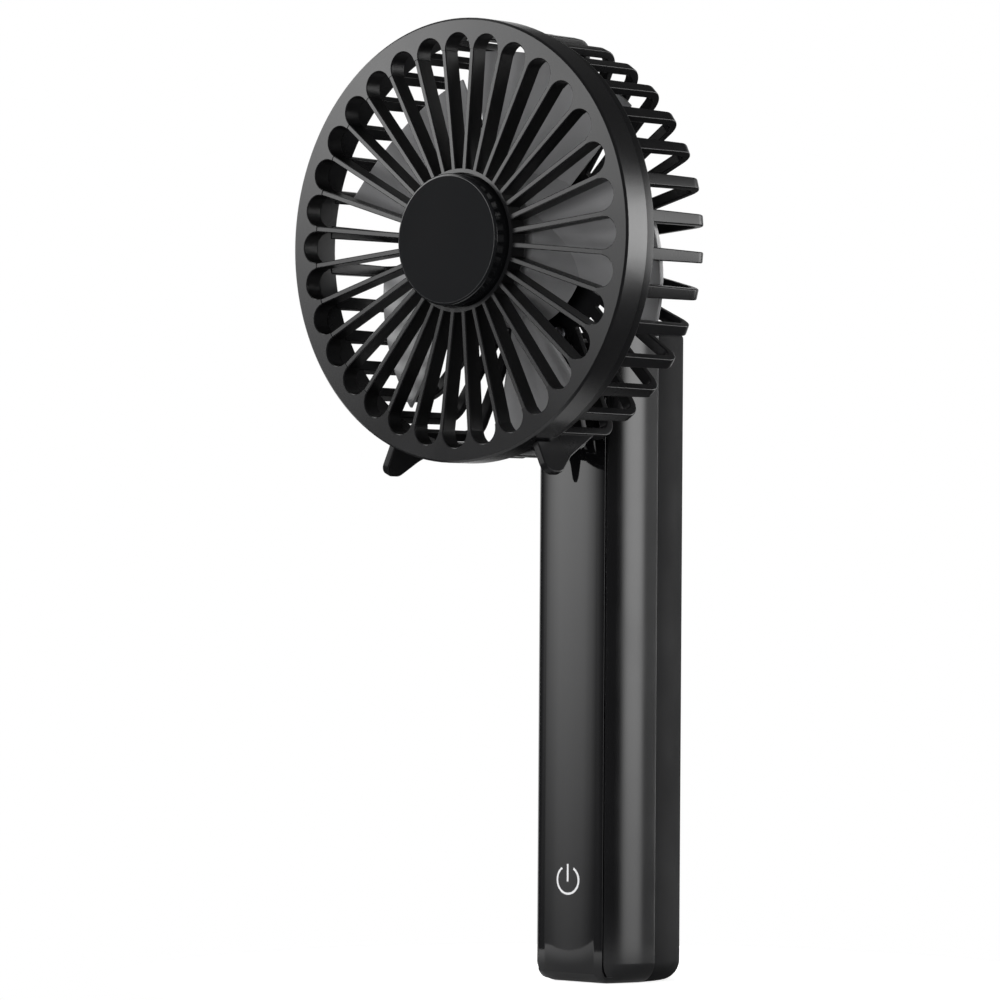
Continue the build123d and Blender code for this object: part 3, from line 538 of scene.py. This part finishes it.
def node_slots():
    """Each CAD node's material slot from the record."""
    return {row["node"]: row["material_slot"] for row in frame["record"]["subparts"]}


def node_body(node):
    """The body that carries a CAD node."""
    return frame["nodes"][node]["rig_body"]


def piece_from(shape, name, body, material, smooth=SMOOTH_ANGLE):
    """A finished piece from a bmesh, riding on a body, with edges steeper than smooth kept sharp."""
    for face in shape.faces:
        face.smooth = True
    for edge in shape.edges:
        edge.smooth = edge.calc_face_angle(math.pi) <= smooth
    mesh = bpy.data.meshes.new(name)
    shape.to_mesh(mesh)
    shape.free()
    if mesh.has_custom_normals:
        mesh.attributes.remove(mesh.attributes["custom_normal"])
    mesh.materials.append(material)
    piece = bpy.data.objects.new(name, mesh)
    bpy.context.scene.collection.objects.link(piece)
    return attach(piece, body)


def from_axis(place):
    """Distance of a place from the ring's axis."""
    return math.hypot(place.x - RING_MIDDLE.x, place.z - RING_MIDDLE.z)


# Picks the slot walls, whose finish is darkened as painted shade
def is_slot_wall(face):
    """A face of the grille inside its outer ring that doesn't face the front."""
    reach = SLOT_REACH_SHARE * RING_RADIUS
    return face.normal.y > FRONT_FACING and from_axis(face.calc_center_median()) < reach


def is_cap_rim(face):
    """A face of the hub cap other than its flat front."""
    return face.normal.y > FACE_ON


def ease_edges(shape, edge):
    """Merges flat facets and rounds the convex sharp edges."""
    bmesh.ops.dissolve_limit(shape, angle_limit=FLAT_ANGLE, verts=shape.verts, edges=shape.edges)
    crowded = [face for face in shape.faces if len(face.verts) > MANY_CORNERS]
    bmesh.ops.connect_verts_concave(shape, faces=crowded)
    sharp = [line for line in shape.edges
             if line.is_manifold and line.is_convex and line.calc_face_angle(0.0) > EDGE_ANGLE]
    bmesh.ops.bevel(shape, geom=sharp, offset=edge, offset_type="OFFSET", segments=EDGE_SEGMENTS,
                    profile=EDGE_PROFILE, affect="EDGES", clamp_overlap=False, material=-1)


def dressed_copy(node, edge=0.0, smooth=SMOOTH_ANGLE, second=None, chosen=None):
    """A merged copy of a CAD node that stands for that node, with its edges eased where an edge is given.

    The faces that chosen picks get the second finish.
    """
    shape = bmesh.new()
    shape.from_mesh(frame["nodes"][node].data)
    bmesh.ops.remove_doubles(shape, verts=shape.verts, dist=MERGE_DISTANCE)
    if edge > 0:
        ease_edges(shape, edge)
    if second:
        for face in shape.faces:
            face.material_index = 1 if chosen(face) else 0
    slot = node_slots()[node]
    piece = piece_from(shape, f"{node}_moulding", node_body(node), made_finish(slot), smooth)
    if second:
        piece.data.materials.append(made_finish(second))
    weighted = piece.modifiers.new("Even shading", "WEIGHTED_NORMAL")
    weighted.keep_sharp = True
    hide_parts(node)
    return piece


# Studio


def seen_white(tree, share):
    """One for rays from the camera or through glass, a share for reflected rays, and zero for any other."""
    path = add_node(tree, "ShaderNodeLightPath").outputs
    direct = combined(tree, "MAXIMUM", path["Is Camera Ray"], path["Is Transmission Ray"])
    mirrored = combined(tree, "MULTIPLY", path["Is Glossy Ray"], share)
    return combined(tree, "MAXIMUM", direct, mirrored)


def studio_floor(colour, glow):
    """A round pale floor that is white to the camera and, away from the object, in reflections.

    It keeps the object's shadow, and near the object its glow fades out of reflections as a painted shade.
    """
    shape = bmesh.new()
    bmesh.ops.create_circle(shape, cap_ends=True, radius=FLOOR_RADIUS, segments=ARC_STEPS * 2)
    mesh = bpy.data.meshes.new("studio_floor")
    shape.to_mesh(mesh)
    shape.free()
    floor = bpy.data.objects.new("studio_floor", mesh)
    bpy.context.scene.collection.objects.link(floor)
    material = bpy.data.materials.new("studio_floor")
    material.use_nodes = True
    tree = material.node_tree
    shader = tree.nodes["Principled BSDF"]
    shader.inputs["Base Color"].default_value = (*colour, 1.0)
    shader.inputs["Roughness"].default_value = FLOOR_ROUGHNESS
    shader.inputs["Specular IOR Level"].default_value = 0.0
    shader.inputs["Emission Color"].default_value = WHITE
    place = add_node(tree, "ShaderNodeTexCoord").outputs["Object"]
    reach = vector_outputs(tree, "LENGTH", place)["Value"]
    # Painted shade: reflections see no glow near the object, standing for its shadow there
    glow_outside_painted_shade = eased(tree, reach, FLOOR_PAINTED_SHADE, FLOOR_RADIUS, 0.0, 1.0)
    lift = combined(tree, "MULTIPLY", seen_white(tree, glow_outside_painted_shade), glow)
    tree.links.new(lift, shader.inputs["Emission Strength"])
    mesh.materials.append(material)


def world_box(tree, toward, box, strength):
    """A soft box as a strength over the directions of the surroundings."""
    azimuth = math.radians(box.azimuth)
    flat = vector_outputs(tree, "MULTIPLY", toward, LEVEL)["Vector"]
    level = vector_outputs(tree, "NORMALIZE", flat)["Vector"]
    middle = (math.sin(azimuth), -math.cos(azimuth), 0.0)
    nearness = vector_outputs(tree, "DOT_PRODUCT", level, middle)["Value"]
    outer = math.cos(math.radians(box.whole))
    inner = math.cos(math.radians(box.full))
    across = eased(tree, nearness, outer, inner, 0.0, strength)
    height = add_node(tree, "ShaderNodeSeparateXYZ", {"Vector": toward}).outputs["Z"]
    start, full, fade, end = box.heights
    low = eased(tree, height, start, full, 0.0, 1.0)
    high = eased(tree, height, fade, end, 1.0, 0.0)
    return combined(tree, "MULTIPLY", across, combined(tree, "MULTIPLY", low, high))


def studio_world(scene, studio):
    """A dim room with soft boxes and a white backdrop.

    The camera sees white all round, and reflections see it where the backdrop stands behind the object.
    """
    world = bpy.data.worlds.new("studio")
    scene.world = world
    world.use_nodes = True
    tree = world.node_tree
    toward = add_node(tree, "ShaderNodeTexCoord").outputs["Generated"]
    height = add_node(tree, "ShaderNodeSeparateXYZ", {"Vector": toward}).outputs["Z"]
    lights = eased(tree, height, -ROOM_HEIGHT, ROOM_HEIGHT, ROOM_BELOW, ROOM_ABOVE)
    boxes = (
        (LEFT_BOX, studio.left_strength),
        (HIGH_BOX, studio.high_strength),
        (RIGHT_BOX, studio.right_strength),
        (RIGHT_TAIL, studio.tail_strength),
        (REAR_BOX, studio.rear_strength),
        (BACKDROP, studio.backdrop_strength),
    )
    for box, strength in boxes:
        lights = combined(tree, "ADD", lights, world_box(tree, toward, box, strength))
    white = seen_white(tree, world_box(tree, toward, BACKDROP, 1.0))
    shown = add_node(tree, "ShaderNodeMix", {"Factor": white, "A": lights, "B": 1.0}).outputs["Result"]
    background = tree.nodes["Background"]
    background.inputs["Color"].default_value = WHITE
    tree.links.new(shown, background.inputs["Strength"])


def soft_lamp(name, place, target, size, power):
    """A rectangular soft lamp that faces a target."""
    lamp = bpy.data.lights.new(name, "AREA")
    lamp.shape = "RECTANGLE"
    lamp.size, lamp.size_y = size
    lamp.energy = power
    holder = bpy.data.objects.new(name, lamp)
    holder.location = place
    holder.rotation_euler = (target - place).to_track_quat("-Z", "Y").to_euler()
    holder.visible_camera = False
    holder.visible_glossy = False
    bpy.context.scene.collection.objects.link(holder)


def studio_camera(scene, studio):
    """The camera at the photograph's angle."""
    azimuth, pitch, roll = studio.camera_azimuth, studio.camera_pitch, studio.camera_roll
    reach = math.cos(pitch)
    back = Vector((math.sin(azimuth) * reach, -math.cos(azimuth) * reach, math.sin(pitch)))
    level = Vector((math.cos(azimuth), math.sin(azimuth), 0.0))
    right = level * math.cos(roll) + back.cross(level) * math.sin(roll)
    up = back.cross(right)
    place = RING_MIDDLE + right * studio.camera_right
    place += up * studio.camera_up
    place += back * studio.camera_distance
    data = bpy.data.cameras.new("camera")
    data.lens = studio.camera_lens
    camera = bpy.data.objects.new("camera", data)
    turn = Matrix((right, up, back)).transposed()
    camera.matrix_world = Matrix.Translation(place) @ turn.to_4x4()
    scene.collection.objects.link(camera)
    scene.camera = camera


# Operators


class FAN_OT_finishes(bpy.types.Operator):
    """Make every finish and put it on the parts."""

    bl_idname = "fan.finishes"
    bl_label = "Finishes"

    def execute(self, context):
        made = {**outer_finishes(context.scene.fan_colours), **inner_finishes()}
        for node, slot in node_slots().items():
            mesh = frame["nodes"][node].data
            mesh.materials.clear()
            mesh.materials.append(made[slot])
        FINISH_NAMES.update({slot: material.name for slot, material in made.items()})
        return {"FINISHED"}


class FAN_OT_handle_shell(bpy.types.Operator):
    """Ease the edges of the handle's body, cover and panel, and of the hinge cover."""

    bl_idname = "fan.handle_shell"
    bl_label = "Handle shell"

    def execute(self, context):
        for node in ("handle_body", "rear_cover", "front_panel", "hinge_cover"):
            dressed_copy(node, context.scene.fan_sizes.mould_edge)
        return {"FINISHED"}


class FAN_OT_power_mark(bpy.types.Operator):
    """Print the power mark low on the front panel."""

    bl_idname = "fan.power_mark"
    bl_label = "Power mark"

    def execute(self, context):
        sizes = context.scene.fan_sizes
        shape = bmesh.new()
        self.add_ring(shape, sizes)
        self.add_bar(shape, sizes)
        self.lay_on_panel(shape, sizes)
        bmesh.ops.recalc_face_normals(shape, faces=shape.faces)
        ink = printed_ink("light_grey_ink", context.scene.fan_colours.mark)
        piece_from(shape, "power_mark", "handle", ink)
        return {"FINISHED"}

    def add_ring(self, shape, sizes):
        """The open ring, drawn flat about the origin with its opening upwards."""
        inner = sizes.mark_radius - sizes.mark_stroke / 2
        outer = sizes.mark_radius + sizes.mark_stroke / 2
        section = [(inner, 0.0), (outer, 0.0), (outer, sizes.mark_proud), (inner, sizes.mark_proud)]
        corners = [shape.verts.new((0.0, -depth, reach)) for reach, depth in section]
        face = shape.faces.new(corners)
        half = sizes.mark_opening / 2
        bmesh.ops.rotate(shape, verts=corners, matrix=Matrix.Rotation(half, 3, "Y"))
        swept = bmesh.ops.spin(shape, geom=[face, *face.edges, *corners], axis=(0, 1, 0), cent=(0, 0, 0),
                               angle=2 * math.pi - sizes.mark_opening, steps=ARC_STEPS, use_duplicate=False)
        if not swept["geom_last"]:
            raise RuntimeError("the power mark's ring wasn't swept")

    def add_bar(self, shape, sizes):
        """The upright bar through the ring's opening."""
        made = bmesh.ops.create_cube(shape, size=1.0)
        size = Vector((sizes.mark_stroke, sizes.mark_proud, sizes.mark_bar))
        bmesh.ops.scale(shape, verts=made["verts"], vec=size)
        rise = sizes.mark_radius + sizes.mark_stroke - sizes.mark_bar / 2
        bmesh.ops.translate(shape, verts=made["verts"], vec=Vector((0.0, -sizes.mark_proud / 2, rise)))

    def lay_on_panel(self, shape, sizes):
        """Bends the flat mark over the panel's crown."""
        half = (PANEL_HIGH.x - PANEL_LOW.x) / 2
        radius = (half ** 2 + sizes.panel_crown ** 2) / (2 * sizes.panel_crown)
        for vert in shape.verts:
            drop = radius - math.sqrt(radius ** 2 - vert.co.x ** 2)
            vert.co += Vector((0.0, PANEL_LOW.y + drop, sizes.mark_rise))


class FAN_OT_head(bpy.types.Operator):
    """Dress the grille, and ease the edges of the hub cap and the cage."""

    bl_idname = "fan.head"
    bl_label = "Head"

    def execute(self, context):
        sizes = context.scene.fan_sizes
        # The grille's slot walls get their own finish, with a colour darkened as painted shade
        dressed_copy("front_grille", smooth=GRILLE_ANGLE, second="grille_walls", chosen=is_slot_wall)
        dressed_copy("hub_cap", sizes.cap_edge, second="cap_rim", chosen=is_cap_rim)
        dressed_copy("rear_cage", sizes.rib_edge)
        return {"FINISHED"}


class FAN_OT_neck(bpy.types.Operator):
    """Ease the edges of the neck and the rear cap."""

    bl_idname = "fan.neck"
    bl_label = "Neck"

    def execute(self, context):
        for node in ("neck_arm", "rear_cap"):
            dressed_copy(node, context.scene.fan_sizes.mould_edge)
        return {"FINISHED"}


class FAN_OT_impeller(bpy.types.Operator):
    """Ease the edges of the impeller's blades."""

    bl_idname = "fan.impeller"
    bl_label = "Impeller"

    def execute(self, context):
        dressed_copy("impeller", context.scene.fan_sizes.blade_edge)
        return {"FINISHED"}


class FAN_OT_stage(bpy.types.Operator):
    """Set up the floor, the surroundings, the lamp and the camera."""

    bl_idname = "fan.stage"
    bl_label = "Stage"

    def execute(self, context):
        scene = context.scene
        scene.view_settings.view_transform = "Standard"
        studio = scene.fan_studio
        studio_floor(scene.fan_colours.floor, studio.floor_glow)
        studio_world(scene, studio)
        soft_lamp("fill_lamp", FILL_PLACE, RING_MIDDLE, FILL_SIZE, studio.fill_power)
        studio_camera(scene, studio)
        return {"FINISHED"}


OPERATORS = (
    FAN_OT_finishes,
    FAN_OT_handle_shell,
    FAN_OT_power_mark,
    FAN_OT_head,
    FAN_OT_neck,
    FAN_OT_impeller,
    FAN_OT_stage,
)


class FAN_PT_sidebar(bpy.types.Panel):
    """The fan's tools and properties."""

    bl_idname = "FAN_PT_sidebar"
    bl_label = "Hand fan"
    bl_space_type = "VIEW_3D"
    bl_region_type = "UI"
    bl_category = "Hand fan"

    def draw(self, context):
        for operator in OPERATORS:
            self.layout.operator(operator.bl_idname)
        for group in (context.scene.fan_sizes, context.scene.fan_colours, context.scene.fan_studio):
            column = self.layout.column()
            for name in group.__annotations__:
                column.prop(group, name)


GROUPS = (FanSizes, FanColours, FanStudio)


def register():
    for item in (*GROUPS, *OPERATORS, FAN_PT_sidebar):
        bpy.utils.register_class(item)
    bpy.types.Scene.fan_sizes = PointerProperty(type=FanSizes)
    bpy.types.Scene.fan_colours = PointerProperty(type=FanColours)
    bpy.types.Scene.fan_studio = PointerProperty(type=FanStudio)


def unregister():
    del bpy.types.Scene.fan_studio
    del bpy.types.Scene.fan_colours
    del bpy.types.Scene.fan_sizes
    for item in reversed((*GROUPS, *OPERATORS, FAN_PT_sidebar)):
        bpy.utils.unregister_class(item)


def main():
    register()
    for operator in OPERATORS:
        group, name = operator.bl_idname.split(".")
        getattr(getattr(bpy.ops, group), name)()


if __name__ == "__main__":
    main()
